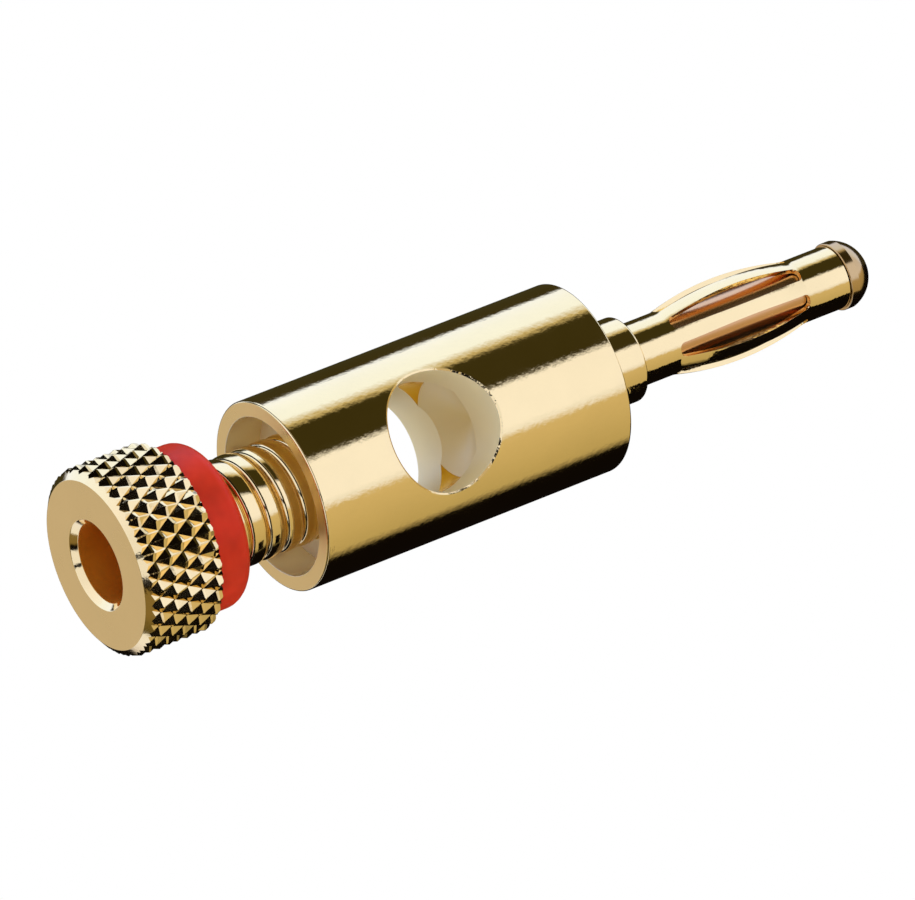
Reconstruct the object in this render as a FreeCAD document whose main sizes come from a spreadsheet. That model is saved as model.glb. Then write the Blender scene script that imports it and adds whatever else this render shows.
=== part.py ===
import FreeCAD, Part
import math
import os

import Sketcher

# Banana plug with a lantern spring pin, millimetres.
# The plug stands on the flat rear face of its knurled knob: +Z runs along its axis to the pin's tip,
# and the origin is the middle of that face. The cross hole in the barrel runs along Y.

SIZES = [
    # barrel, with which the knob runs flush
    ("barrel_radius", 6.0),
    ("barrel_length", 21.96),
    ("barrel_edge", 0.15),
    ("rim_wall", 1.0),
    ("well_depth", 2.5),
    ("tap_depth", 11.14),
    ("drill_radius", 3.1),
    ("drill_depth", 12.64),
    ("drill_point_angle", 118.0),
    ("cross_hole_radius", 3.7),
    ("cross_hole_offset", 9.44),
    ("cross_hole_edge", 0.15),
    # clamping screw with its knurled knob
    ("knob_length", 5.2),
    ("knob_edge_width", 0.6),
    ("knob_edge_height", 0.5),
    ("knurl_count", 36),
    ("knurl_rows", 6),
    ("knurl_depth", 0.35),
    ("thread_radius", 3.4),
    ("thread_clearance", 0.05),
    ("screw_depth", 5.3),
    ("screw_tip_edge", 0.4),
    ("wire_bore_radius", 2.5),
    ("wire_bore_flare", 0.38),
    # colour ring between knob and barrel
    ("ring_radius", 5.2),
    ("ring_length", 2.65),
    ("ring_round", 0.9),
    ("ring_play", 0.03),
    ("open_gap", 4.61),
    # contact pin: spigot, collar, core and domed head
    ("spigot_radius", 2.0),
    ("spigot_length", 5.0),
    ("collar_radius", 2.7),
    ("collar_length", 3.58),
    ("collar_edge", 0.2),
    ("core_radius", 1.65),
    ("head_radius", 2.15),
    ("head_side", 0.6),
    ("head_dome", 1.64),
    # lantern spring rolled round the core
    ("sleeve_sheet", 0.3),
    ("sleeve_clearance", 0.05),
    ("sleeve_end_play", 0.05),
    ("rear_band", 2.85),
    ("front_band", 2.95),
    ("slot_length", 9.57),
    ("slot_width", 0.95),
    ("leaf_count", 7),
    ("leaf_bow", 0.62),
    ("leaf_bend_radius", 9.0),
    ("seam_width", 0.2),
    ("seam_angle", 127.3),
]

# places along the axis, as expressions of the sheet's sizes
RING_BASE = "(Sizes.knob_length + Sizes.ring_play)"
BARREL_BASE = "(Sizes.knob_length + Sizes.ring_play + Sizes.ring_length + Sizes.open_gap)"
COLLAR_BASE = f"({BARREL_BASE} + Sizes.barrel_length)"
SLEEVE_BASE = f"({COLLAR_BASE} + Sizes.collar_length + Sizes.sleeve_end_play)"
SLEEVE_LENGTH = "(Sizes.rear_band + Sizes.slot_length + Sizes.front_band)"
SLEEVE_INSIDE = "(Sizes.core_radius + Sizes.sleeve_clearance)"
SLEEVE_OUTSIDE = f"({SLEEVE_INSIDE} + Sizes.sleeve_sheet)"
BORE_RADIUS = "(Sizes.thread_radius + Sizes.thread_clearance)"
SHANK_LENGTH = "(Sizes.ring_play + Sizes.ring_length + Sizes.open_gap + Sizes.screw_depth)"


def make_sheet(doc):
    """The driving sizes, one named cell each."""
    sheet = doc.addObject("Spreadsheet::Sheet", "Sizes")
    for row, (name, number) in enumerate(SIZES, start=1):
        sheet.set(f"A{row}", name)
        sheet.set(f"B{row}", str(number))
        sheet.setAlias(f"B{row}", name)
    doc.recompute()
    return sheet


def number(doc, expression):
    """The present value of an expression of the sheet's sizes."""
    found = doc.Sizes.evalExpression(expression)
    return float(getattr(found, "Value", found))


def plane(body, role):
    """One of the body's own origin planes."""
    return next(item for item in body.Origin.OriginFeatures if item.Role == role)


def new_body(doc, name, base="0"):
    """A body that stands at the height that the base expression gives."""
    body = doc.addObject("PartDesign::Body", name)
    body.Label = name
    body.setExpression("Placement.Base.z", base)
    return body


def new_sketch(body, name, role):
    sketch = body.newObject("Sketcher::SketchObject", name)
    sketch.AttachmentSupport = [(plane(body, role), "")]
    sketch.MapMode = "FlatFace"
    return sketch


def pin_point(sketch, edge, end, across, along):
    """Tie a point to the sketch's origin by two bound distances."""
    for kind, expression in (("DistanceX", across), ("DistanceY", along)):
        start = number(sketch.Document, expression)
        index = sketch.addConstraint(Sketcher.Constraint(kind, -1, 1, edge, end, start))
        sketch.setExpression(f"Constraints[{index}]", expression)


def draw_outline(sketch, corners):
    """A closed outline. Each corner is two expressions. Where a corner also has a radius, the edge
    that starts there is an arc of it, which bulges to the right of its way, or to its left where
    the corner ends with the word left."""
    doc = sketch.Document
    places = [FreeCAD.Vector(number(doc, c[0]), number(doc, c[1]), 0) for c in corners]
    count = len(corners)
    # a sketch's arc runs anticlockwise, so one that bulges to the left is drawn from its far end
    ends = [(2, 1) if corner[-1] == "left" else (1, 2) for corner in corners]
    for index, corner in enumerate(corners):
        start, end = places[index], places[(index + 1) % count]
        if corner[-1] == "left":
            start, end = end, start
        edge = Part.LineSegment(start, end)
        if len(corner) > 2:
            chord = end - start
            side = FreeCAD.Vector(chord.y, -chord.x, 0).normalize()
            radius = number(doc, corner[2])
            rise = radius - math.sqrt(radius ** 2 - (chord.Length / 2) ** 2)
            edge = Part.Arc(start, (start + end) * 0.5 + side * rise, end)
        sketch.addGeometry(edge, False)
    for index, corner in enumerate(corners):
        after = (index + 1) % count
        sketch.addConstraint(
            Sketcher.Constraint("Coincident", index, ends[index][1], after, ends[after][0])
        )
        pin_point(sketch, index, ends[index][0], corner[0], corner[1])
        if len(corner) > 2:
            radius = number(doc, corner[2])
            bound = sketch.addConstraint(Sketcher.Constraint("Radius", index, radius))
            sketch.setExpression(f"Constraints[{bound}]", corner[2])


def turned(body, name, corners, cut=False):
    """A solid or a cut turned about the body's Z axis from an outline in its XZ plane."""
    sketch = new_sketch(body, f"{name}_outline", "XZ_Plane")
    draw_outline(sketch, corners)
    feature = body.newObject("PartDesign::Groove" if cut else "PartDesign::Revolution", name)
    feature.Profile = sketch
    feature.ReferenceAxis = (sketch, ["V_Axis"])
    feature.Angle = 360
    body.Document.recompute()
    return feature


def pocket_through(body, name, sketch, side_type):
    """A pocket right through the body from a sketch in its XZ plane: both ways, or towards -Y."""
    before = body.Shape.Volume
    pocket = body.newObject("PartDesign::Pocket", name)
    pocket.Profile = sketch
    pocket.Type = "ThroughAll"
    pocket.SideType = side_type
    pocket.Reversed = side_type == "One side"
    body.Document.recompute()
    if not body.Shape.Volume < before:
        raise RuntimeError(f"{name} cuts nothing")
    return pocket


def make_barrel(doc):
    """Turned barrel: well and tapped bore from the rear, cross hole, spigot bore in front."""
    body = new_body(doc, "barrel", BARREL_BASE)
    edge_radius = "Sizes.barrel_radius - Sizes.barrel_edge"
    turned(body, "barrel_turning", [
        ("0", "0"),
        (edge_radius, "0"),
        ("Sizes.barrel_radius", "Sizes.barrel_edge"),
        ("Sizes.barrel_radius", "Sizes.barrel_length - Sizes.barrel_edge"),
        (edge_radius, "Sizes.barrel_length"),
        ("0", "Sizes.barrel_length"),
    ])
    well_radius = "Sizes.barrel_radius - Sizes.rim_wall"
    point_height = "Sizes.drill_radius / tan(Sizes.drill_point_angle * 1 deg / 2)"
    turned(body, "rear_bore", [
        ("0", "0"),
        (f"{well_radius} + Sizes.barrel_edge", "0"),
        (well_radius, "Sizes.barrel_edge"),
        (well_radius, "Sizes.well_depth"),
        (BORE_RADIUS, "Sizes.well_depth"),
        (BORE_RADIUS, "Sizes.tap_depth"),
        ("Sizes.drill_radius", "Sizes.tap_depth"),
        ("Sizes.drill_radius", "Sizes.drill_depth"),
        ("0", f"Sizes.drill_depth + {point_height}"),
    ], cut=True)
    turned(body, "spigot_bore", [
        ("0", "Sizes.barrel_length - Sizes.spigot_length"),
        ("Sizes.spigot_radius", "Sizes.barrel_length - Sizes.spigot_length"),
        ("Sizes.spigot_radius", "Sizes.barrel_length"),
        ("0", "Sizes.barrel_length"),
    ], cut=True)
    circle = new_sketch(body, "cross_hole_circle", "XZ_Plane")
    radius = number(doc, "Sizes.cross_hole_radius")
    circle.addGeometry(Part.Circle(FreeCAD.Vector(0, radius, 0), FreeCAD.Vector(0, 0, 1), radius))
    circle.addConstraint(Sketcher.Constraint("PointOnObject", 0, 3, -2))
    height = circle.addConstraint(Sketcher.Constraint("DistanceY", -1, 1, 0, 3, radius))
    circle.setExpression(f"Constraints[{height}]", "Sizes.cross_hole_offset")
    size = circle.addConstraint(Sketcher.Constraint("Radius", 0, radius))
    circle.setExpression(f"Constraints[{size}]", "Sizes.cross_hole_radius")
    hole = pocket_through(body, "cross_hole", circle, "Symmetric")
    chamfer = body.newObject("PartDesign::Chamfer", "cross_hole_chamfer")
    chamfer.Base = (hole, hole_mouth_edges(doc, hole.Shape))
    chamfer.setExpression("Size", "Sizes.cross_hole_edge")
    doc.recompute()
    return body


def hole_mouth_edges(doc, shape):
    """The names of the edges where the cross hole leaves the barrel's outer skin."""
    skin = number(doc, "Sizes.barrel_radius")
    low = number(doc, "Sizes.cross_hole_offset - Sizes.cross_hole_radius")
    high = number(doc, "Sizes.cross_hole_offset + Sizes.cross_hole_radius")
    names = []
    for index, edge in enumerate(shape.Edges, start=1):
        if edge.Degenerated:
            continue
        places = edge.discretize(5)
        on_skin = all(abs(math.hypot(p.x, p.y) - skin) < 1e-3 for p in places)
        curved = max(p.z for p in places) - min(p.z for p in places) > 1e-3
        inside = all(low - 1e-3 < p.z < high + 1e-3 for p in places)
        if on_skin and curved and inside:
            names.append(f"Edge{index}")
    return names


def knurled_bar(doc):
    """A length of bar with a diamond knurl: rows of four-sided pyramids between crossing
    grooves. Neighbouring rows share their grooves and stand half a pitch apart."""
    count = int(number(doc, "Sizes.knurl_count"))
    rows = int(number(doc, "Sizes.knurl_rows"))
    crest = number(doc, "Sizes.barrel_radius")
    root = crest - number(doc, "Sizes.knurl_depth")
    length = number(doc, "Sizes.knob_length")
    step = length / rows

    def place(radius, half_turn, level):
        angle = math.pi * half_turn / count
        return FreeCAD.Vector(radius * math.cos(angle), radius * math.sin(angle), step * level)

    faces = []
    ends = {0: [], rows: []}
    for half_turn in range(2 * count):
        for level in range(rows + 1):
            if (half_turn + level) % 2:
                continue
            # the pyramid whose crest is at this node, cut off at the bar's two ends
            top = place(crest, half_turn, level)
            left, right = place(root, half_turn - 1, level), place(root, half_turn + 1, level)
            if level < rows:
                above = place(root, half_turn, level + 1)
                faces.append([right, above, top])
                faces.append([above, left, top])
            if level > 0:
                below = place(root, half_turn, level - 1)
                faces.append([left, below, top])
                faces.append([below, right, top])
            if level in ends:
                ends[level] += [left, top]
    shells = [Part.Face(Part.makePolygon(corners + corners[:1])) for corners in faces]
    for corners in ends.values():
        shells.append(Part.Face(Part.makePolygon(corners + corners[:1])))
    bar = doc.addObject("Part::Feature", "knurled_bar")
    bar.Shape = Part.makeSolid(Part.makeShell(shells))
    return bar


def make_clamping_screw(doc):
    """Knurled knob and hollow screw in one piece, turned from knurled bar."""
    body = new_body(doc, "clamping_screw")
    body.BaseFeature = knurled_bar(doc)
    doc.recompute()
    proud = "Sizes.barrel_radius + Sizes.knurl_depth"
    turned(body, "knob_edge", [
        ("Sizes.barrel_radius - Sizes.knob_edge_width", "0"),
        (proud, "0"),
        (proud, "Sizes.knob_edge_height * (1 + Sizes.knurl_depth / Sizes.knob_edge_width)"),
    ], cut=True)
    shank_end = f"Sizes.knob_length + {SHANK_LENGTH}"
    turned(body, "shank", [
        ("0", "Sizes.knob_length"),
        ("Sizes.thread_radius", "Sizes.knob_length"),
        ("Sizes.thread_radius", f"{shank_end} - Sizes.screw_tip_edge"),
        ("Sizes.thread_radius - Sizes.screw_tip_edge", shank_end),
        ("0", shank_end),
    ])
    turned(body, "wire_bore", [
        ("0", "0"),
        ("Sizes.wire_bore_radius + Sizes.wire_bore_flare", "0"),
        ("Sizes.wire_bore_radius", "Sizes.wire_bore_flare"),
        ("Sizes.wire_bore_radius", shank_end),
        ("0", shank_end),
    ], cut=True)
    return body


def make_colour_ring(doc):
    """Plastic ring on the screw's shank, rounded towards the barrel."""
    body = new_body(doc, "colour_ring", RING_BASE)
    flat_radius = "Sizes.ring_radius - Sizes.ring_round"
    turned(body, "ring_turning", [
        (BORE_RADIUS, "0"),
        ("Sizes.ring_radius", "0"),
        ("Sizes.ring_radius", "Sizes.ring_length - Sizes.ring_round", "Sizes.ring_round"),
        (flat_radius, "Sizes.ring_length"),
        (BORE_RADIUS, "Sizes.ring_length"),
    ])
    return body


def make_contact_pin(doc):
    """Spigot in the barrel, collar, core for the spring and domed head, in one turned piece."""
    body = new_body(doc, "contact_pin", COLLAR_BASE)
    core_end = f"Sizes.collar_length + 2 * Sizes.sleeve_end_play + {SLEEVE_LENGTH}"
    dome_radius = "(Sizes.head_radius ^ 2 + Sizes.head_dome ^ 2) / (2 * Sizes.head_dome)"
    turned(body, "pin_turning", [
        ("0", "-Sizes.spigot_length"),
        ("Sizes.spigot_radius", "-Sizes.spigot_length"),
        ("Sizes.spigot_radius", "0"),
        ("Sizes.collar_radius", "0"),
        ("Sizes.collar_radius", "Sizes.collar_length - Sizes.collar_edge"),
        ("Sizes.collar_radius - Sizes.collar_edge", "Sizes.collar_length"),
        ("Sizes.core_radius", "Sizes.collar_length"),
        ("Sizes.core_radius", core_end),
        ("Sizes.head_radius", core_end),
        ("Sizes.head_radius", f"{core_end} + Sizes.head_side", dome_radius),
        ("0", f"{core_end} + Sizes.head_side + Sizes.head_dome"),
    ])
    return body


def leaf_line(radius, thickness):
    """The corners of one skin of the bowed sheet, from band to band: a small bend out of each
    band and one large arc between them. The thickness sets the skin back from the outer one."""
    start, end = "Sizes.rear_band", "(Sizes.rear_band + Sizes.slot_length)"
    turn = "(2 * atan(2 * Sizes.leaf_bow / Sizes.slot_length))"
    bend = f"(Sizes.leaf_bend_radius + {thickness})"
    bow = f"(Sizes.slot_length / 2 / sin({turn}) - {bend})"
    across = f"({radius} + {bend} * (1 - cos({turn})))"
    along = f"({bend} * sin({turn}))"
    return [
        (radius, start, bend, "left"),
        (across, f"{start} + {along}", bow),
        (across, f"{end} - {along}", bend, "left"),
        (radius, end),
    ]


def make_lantern_spring(doc):
    """Sheet sleeve rolled round the core, with bowed leaves between its slots and a seam."""
    body = new_body(doc, "lantern_spring", SLEEVE_BASE)
    body.Placement.Rotation = FreeCAD.Rotation(FreeCAD.Vector(0, 0, 1), 1)
    body.setExpression("Placement.Rotation.Angle", "Sizes.seam_angle * 1 deg")
    outer = leaf_line(SLEEVE_OUTSIDE, "0")
    inner = leaf_line(SLEEVE_INSIDE, "Sizes.sleeve_sheet")
    back = [
        (inner[3][0], inner[3][1], inner[2][2]),
        (inner[2][0], inner[2][1], inner[1][2], "left"),
        (inner[1][0], inner[1][1], inner[0][2]),
        (inner[0][0], inner[0][1]),
    ]
    turned(body, "rolled_sheet", [
        (SLEEVE_OUTSIDE, "0"),
        *outer,
        (SLEEVE_OUTSIDE, SLEEVE_LENGTH),
        (SLEEVE_INSIDE, SLEEVE_LENGTH),
        *back,
        (SLEEVE_INSIDE, "0"),
    ])
    # a leaf keeps its width as it bows out, so each slot is widest in the middle
    low, high = "Sizes.rear_band", "(Sizes.rear_band + Sizes.slot_length)"
    side = "(Sizes.slot_width / 2)"
    swell = "(pi * Sizes.leaf_bow / Sizes.leaf_count)"
    straight = "((Sizes.slot_length - Sizes.slot_width) / 2)"
    flank = f"(({straight} ^ 2 + {swell} ^ 2) / (2 * {swell}))"
    sketch = new_sketch(body, "slot_outline", "XZ_Plane")
    draw_outline(sketch, [
        ("0", low, side),
        (side, f"{low} + {side}", flank),
        (side, f"{high} - {side}", side),
        ("0", high, side),
        (f"-{side}", f"{high} - {side}", flank),
        (f"-{side}", f"{low} + {side}", side),
    ])
    slot = pocket_through(body, "slot", sketch, "One side")
    slots = body.newObject("PartDesign::PolarPattern", "slots")
    slots.Originals = [slot]
    slots.Axis = (plane(body, "Z_Axis"), [""])
    slots.Angle = 360
    slots.setExpression("Occurrences", "Sizes.leaf_count")
    body.Tip = slots
    doc.recompute()
    seam = "(Sizes.seam_width / 2)"
    sketch = new_sketch(body, "seam_outline", "XZ_Plane")
    draw_outline(sketch, [
        (f"-{seam}", "0"),
        (seam, "0"),
        (seam, SLEEVE_LENGTH),
        (f"-{seam}", SLEEVE_LENGTH),
    ])
    pocket_through(body, "seam", sketch, "One side")
    return body


def main():
    os.makedirs("parts", exist_ok=True)
    doc = FreeCAD.newDocument("banana_plug")
    make_sheet(doc)
    bodies = [
        make_barrel(doc),
        make_contact_pin(doc),
        make_lantern_spring(doc),
        make_clamping_screw(doc),
        make_colour_ring(doc),
    ]
    doc.recompute()
    for item in doc.Objects:
        if "Invalid" in item.State or "Error" in item.State:
            raise RuntimeError(f"{item.Label} failed: {item.State}")
    for body in bodies:
        if body.Shape.isNull() or not body.Shape.isValid():
            raise RuntimeError(f"{body.Label} has no valid shape")
    for body in bodies:
        body.Shape.exportStep(f"parts/{body.Label}.step")


main()
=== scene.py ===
import math

import bmesh
import bpy
import numpy as np
from bpy.props import FloatProperty, FloatVectorProperty, IntProperty, PointerProperty
from mathutils import Matrix, Vector


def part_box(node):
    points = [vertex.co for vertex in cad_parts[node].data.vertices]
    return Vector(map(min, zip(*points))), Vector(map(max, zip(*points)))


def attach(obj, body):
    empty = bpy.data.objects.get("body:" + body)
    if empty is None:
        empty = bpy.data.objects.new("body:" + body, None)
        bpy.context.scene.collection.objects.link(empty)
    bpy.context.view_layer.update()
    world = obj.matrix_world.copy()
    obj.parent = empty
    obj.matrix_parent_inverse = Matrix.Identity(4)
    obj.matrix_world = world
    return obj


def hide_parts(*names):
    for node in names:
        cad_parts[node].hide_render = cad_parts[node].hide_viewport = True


bl_info = {
    "name": "Banana plug",
    "version": (1, 0, 0),
    "blender": (4, 5, 0),
    "location": "3D View > Sidebar > Plug",
    "description": "Makes a gold plated banana plug with a lantern spring pin and a clamping screw",
    "category": "Add Mesh",
}

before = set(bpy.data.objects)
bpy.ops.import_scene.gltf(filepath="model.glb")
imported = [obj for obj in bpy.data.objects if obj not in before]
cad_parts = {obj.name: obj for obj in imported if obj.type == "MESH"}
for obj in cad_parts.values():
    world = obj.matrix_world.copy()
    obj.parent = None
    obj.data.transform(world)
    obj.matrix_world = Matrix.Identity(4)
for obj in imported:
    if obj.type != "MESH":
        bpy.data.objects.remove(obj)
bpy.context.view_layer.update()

MM = 0.001

# lengths in metres: within them a point lies on the axis, on a plane, on a curved surface or at a
# bore's wall, two points are welded, and a line has no length
ON_AXIS = 1e-8
ON_PLANE = 1e-6
ON_SURFACE = 3e-6
AT_WALL = 1e-5
WELD = 2e-6
NO_LENGTH = 1e-9

# decimals of a metre to which the points of an outline are told apart
DECIMALS = 9

# cosines above which two directions are the same and a face is level
SAME_WAY = 0.96
LEVEL = 0.9999

# facets round the turned pieces, and one step of a rounded edge
FACETS = 192
KNOB_FACETS = 288
ARC_STEP = math.radians(12)

# how far past its own width a rounded or chamfered edge still counts as the edge
EDGE_MARGIN = 1.2

# sockets of a Mix node that mixes colours
MIX_FACTOR, MIX_FIRST, MIX_SECOND = 0, 6, 7
MIX_RESULT = 2


# Sizes and colours

def millimetres(name, description, value):
    return FloatProperty(
        name=name, description=description, default=value * MM, unit="LENGTH", precision=5
    )


def colour(name, description, value):
    return FloatVectorProperty(
        name=name, description=description, default=value, subtype="COLOR", min=0, max=4
    )


def share(name, description, value):
    return FloatProperty(
        name=name, description=description, default=value, min=0, max=1, subtype="FACTOR"
    )


def degrees(name, description, value):
    return FloatProperty(
        name=name, description=description, default=math.radians(value), subtype="ANGLE"
    )


def number(name, description, value):
    return FloatProperty(name=name, description=description, default=value)


def whole(name, description, value):
    return IntProperty(name=name, description=description, default=value)


class BarrelSizes(bpy.types.PropertyGroup):
    radius: millimetres("Radius", "Outside radius of the barrel", 6.0)
    edge: millimetres("Edge", "Rounding of the barrel's outer edges", 0.15)
    mouth_edge: millimetres("Well edge", "Rounding of the well's mouth", 0.06)
    rim_wall: millimetres("Rim wall", "Wall round the well at the rear", 1.0)
    well_depth: millimetres("Well depth", "Depth of the well for the ring", 2.5)
    tap_radius: millimetres("Tap radius", "Radius of the tapped bore", 3.45)
    tap_depth: millimetres("Tap depth", "Depth of the tapped bore from the rear", 11.14)
    drill_radius: millimetres("Drill radius", "Radius of the drilled bore", 3.1)
    drill_depth: millimetres("Drill depth", "Depth of the drilled bore from the rear", 12.64)
    drill_point: degrees("Drill point", "Full angle of the drill's point", 118)
    hole_radius: millimetres("Cross hole radius", "Radius of the hole through the side", 3.7)
    hole_height: millimetres("Cross hole height", "Height of the hole above the rear face", 9.44)
    hole_edge: millimetres("Cross hole edge", "Chamfer round the mouths of the hole", 0.12)
    spigot_radius: millimetres("Spigot bore radius", "Radius of the bore for the pin", 2.0)
    spigot_depth: millimetres("Spigot bore depth", "Depth of the bore for the pin", 5.0)
    facets: whole("Facets", "Facets round the barrel", 256)


class ScrewSizes(bpy.types.PropertyGroup):
    knob_radius: millimetres("Knob radius", "Radius over the crests of the knurl", 6.0)
    knob_length: millimetres("Knob length", "Length of the knurled knob", 5.2)
    edge_width: millimetres("Knob edge width", "Width of the chamfer at the rear", 0.68)
    edge_height: millimetres("Knob edge height", "Height of the chamfer at the rear", 0.52)
    front_edge: millimetres("Knob front edge", "Chamfer of the knurl at the front", 0.25)
    knurl_count: whole("Knurl count", "Pyramids in one row", 32)
    knurl_step: millimetres("Knurl step", "Distance between two rows", 0.98)
    knurl_start: millimetres("Knurl start", "Height of the first row of crests", 0.93)
    knurl_depth: millimetres("Knurl depth", "Depth of the grooves of the knurl", 0.35)
    crest_wear: share("Crest wear", "How far a pyramid's top and ridges are worn off", 0.2)
    thread_radius: millimetres("Thread radius", "Radius over the thread", 3.4)
    thread_depth: millimetres("Thread depth", "Depth of the thread", 0.42)
    pitch: millimetres("Pitch", "Rise of one turn of the thread", 1.25)
    crest_overlap: number("Crest overlap", "Width of the thread's ridge over its pitch", 1.02)
    squareness: number("Squareness", "Section of the ridge, from 2 for round upwards", 2.9)
    runout: number("Run-out", "Turns left plain at each end of the thread", 0.6)
    fade: number("Fade", "Turns over which the ridge rises at each end", 0.5)
    turn_steps: whole("Turn steps", "Steps in one turn of the thread", 96)
    tip_edge: millimetres("Tip edge", "Rounding at the end of the screw", 0.2)
    bore_radius: millimetres("Wire bore radius", "Radius of the hole along the axis", 2.5)
    bore_flare: millimetres("Wire bore flare", "Countersink of the wire bore", 0.38)
    flare_edge: millimetres("Flare edge", "Rounding of the countersink's rim", 0.12)
    small_edge: millimetres("Small edge", "Rounding of the bore's ends and the rear face", 0.1)
    shank_overlap: millimetres("Shank overlap", "Length of the shank inside the knob", 0.5)


class RingSizes(bpy.types.PropertyGroup):
    bore_radius: millimetres("Bore radius", "Inside radius of the ring", 3.45)
    radius: millimetres("Radius", "Outside radius of the ring", 5.2)
    round: millimetres("Front rounding", "Rounding of the edge towards the barrel", 0.9)
    edge: millimetres("Rear rounding", "Rounding of the edge towards the knob", 0.12)


class PinSizes(bpy.types.PropertyGroup):
    spigot_radius: millimetres("Spigot radius", "Radius of the part in the barrel", 2.0)
    spigot_length: millimetres("Spigot length", "Length of the part in the barrel", 5.0)
    collar_radius: millimetres("Collar radius", "Radius of the collar", 2.7)
    collar_length: millimetres("Collar length", "Length of the collar", 3.58)
    collar_edge: millimetres("Collar edge", "Rounding of the collar's front", 0.2)
    small_edge: millimetres("Small edge", "Rounding at the rear of collar and head", 0.08)
    core_radius: millimetres("Core radius", "Radius of the core in the spring", 1.65)
    head_radius: millimetres("Head radius", "Radius of the domed head", 2.15)
    head_side: millimetres("Head side", "Straight part of the head", 0.6)
    head_dome: millimetres("Head dome", "Height of the dome", 1.64)


class SpringSizes(bpy.types.PropertyGroup):
    radius: millimetres("Radius", "Outside radius of the bands", 2.0)
    sheet: millimetres("Sheet", "Thickness of the sheet", 0.3)
    edge: millimetres("Edge", "Rounding of the sheet's edges", 0.04)
    rear_band: millimetres("Rear band", "Length of the band at the collar", 2.85)
    slot_length: millimetres("Slot length", "Length of the slots", 9.57)
    slot_width: millimetres("Slot width", "Width of a slot at its ends", 0.95)
    leaf_count: whole("Leaves", "Leaves round the pin", 7)
    bow: millimetres("Bow", "How far the leaves stand out", 0.62)
    bend: millimetres("Bend", "Half the length of the bend where a leaf leaves its band", 0.2)
    seam_width: millimetres("Seam width", "Gap where the sheet's edges meet", 0.2)
    first_slot: degrees("First slot", "Angle of one slot from -Y towards +X", 24.4)
    seam_slot: whole("Seam slot", "Number of the slot in line with the seam", 2)


class Finishes(bpy.types.PropertyGroup):
    gold: colour("Gold", "Plating of barrel, screw and spring", (0.93, 0.66, 0.24))
    bore: colour("Bore", "Tarnished wall of the wire bore", (0.95, 0.45, 0.035))
    dull: colour("Dull", "Dull skin of the cross hole", (0.91, 0.79, 0.44))
    well: colour("Well", "Skin of the well at the rear", (0.97, 0.84, 0.42))
    notch: colour("Notch", "Drilled wall that the cross hole cuts", (0.85, 0.50, 0.025))
    # the core's colour is darker and browner than the pin's gold: painted shade from the spring's
    # leaves round it
    core: colour("Core", "Core of the pin inside the spring", (0.72, 0.38, 0.13))
    bronze: colour("Bronze", "Darker plating of the pin's head", (0.58, 0.36, 0.12))
    ring: colour("Ring", "Plastic of the colour ring", (0.62, 0.032, 0.006))
    floor: colour("Floor", "Surface under the plug", (0.86, 0.86, 0.85))


class StageSettings(bpy.types.PropertyGroup):
    lens: number("Lens", "Focal length in mm", 535.39)
    distance: FloatProperty(
        name="Distance", description="From the aim point to the camera", default=0.81448,
        unit="LENGTH",
    )
    elevation: degrees("Elevation", "Height of the camera above the horizon", -27.686)
    roll: degrees("Roll", "Turn of the camera about its own axis", 68.568)
    aim: FloatVectorProperty(
        name="Aim", description="Point in the middle of the picture",
        default=(0.00145945, 0.0, 0.02523665), subtype="XYZ", unit="LENGTH", precision=6,
    )
    floor_size: FloatProperty(
        name="Floor size", description="Side of the floor", default=3.0, unit="LENGTH"
    )
    floor_gap: millimetres("Floor gap", "Thin gap that keeps the floor clear of the knob", 0.02)


class PlugSettings(bpy.types.PropertyGroup):
    barrel: PointerProperty(type=BarrelSizes)
    screw: PointerProperty(type=ScrewSizes)
    ring: PointerProperty(type=RingSizes)
    pin: PointerProperty(type=PinSizes)
    spring: PointerProperty(type=SpringSizes)
    finishes: PointerProperty(type=Finishes)
    stage: PointerProperty(type=StageSettings)


# Turned shapes

def outline(*corners):
    """The edges of an outline in the plane of radius and height, with the solid on its left.

    A corner is (radius, height), or (radius, height, rounding). An edge is its two ends and the
    surface's outward direction at each of them."""
    count = len(corners)
    points = []
    for index, corner in enumerate(corners):
        here = Vector(corner[:2])
        rounding = corner[2] if len(corner) > 2 else 0
        if rounding <= 0:
            points.append([(here, None, None)])
            continue
        before = (here - Vector(corners[index - 1][:2])).normalized()
        after = (Vector(corners[(index + 1) % count][:2]) - here).normalized()
        turn = math.atan2(before.cross(after), before.dot(after))
        side = 1 if turn > 0 else -1
        start = here - before * rounding * math.tan(abs(turn) / 2)
        centre = start + Vector((-before.y, before.x)) * rounding * side
        steps = max(3, round(abs(turn) / ARC_STEP))
        arc = []
        for step in range(steps + 1):
            spoke = Matrix.Rotation(turn * step / steps, 2) @ (start - centre)
            arc.append((centre + spoke, spoke.normalized() * side, index))
        points.append(arc)
    flat = [item for arc in points for item in arc]
    edges = []
    for index, (start, normal, arc) in enumerate(flat):
        end, end_normal, end_arc = flat[(index + 1) % len(flat)]
        if max(start.x, end.x) < ON_AXIS or (end - start).length < NO_LENGTH:
            continue
        if arc is None or arc != end_arc:
            way = (end - start).normalized()
            normal = end_normal = Vector((way.y, -way.x))
        edges.append((start, end, normal, end_normal))
    return edges


def dome_edges(radius, base, height, steps=20):
    """Edges of a spherical dome from its rim to its top on the axis."""
    ball = (radius ** 2 + height ** 2) / (2 * height)
    centre = Vector((0, base + height - ball))
    sweep = math.asin(min(1, radius / ball))
    spokes = [
        Vector((math.sin(sweep * (1 - step / steps)), math.cos(sweep * (1 - step / steps))))
        for step in range(steps + 1)
    ]
    return [
        (centre + a * ball, centre + b * ball, a, b) for a, b in zip(spokes, spokes[1:])
    ]


def plain_mesh(name, places, faces):
    """A mesh from its corners' places and its faces."""
    mesh = bpy.data.meshes.new(name)
    mesh.from_pydata(places, [], faces)
    return mesh


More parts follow.
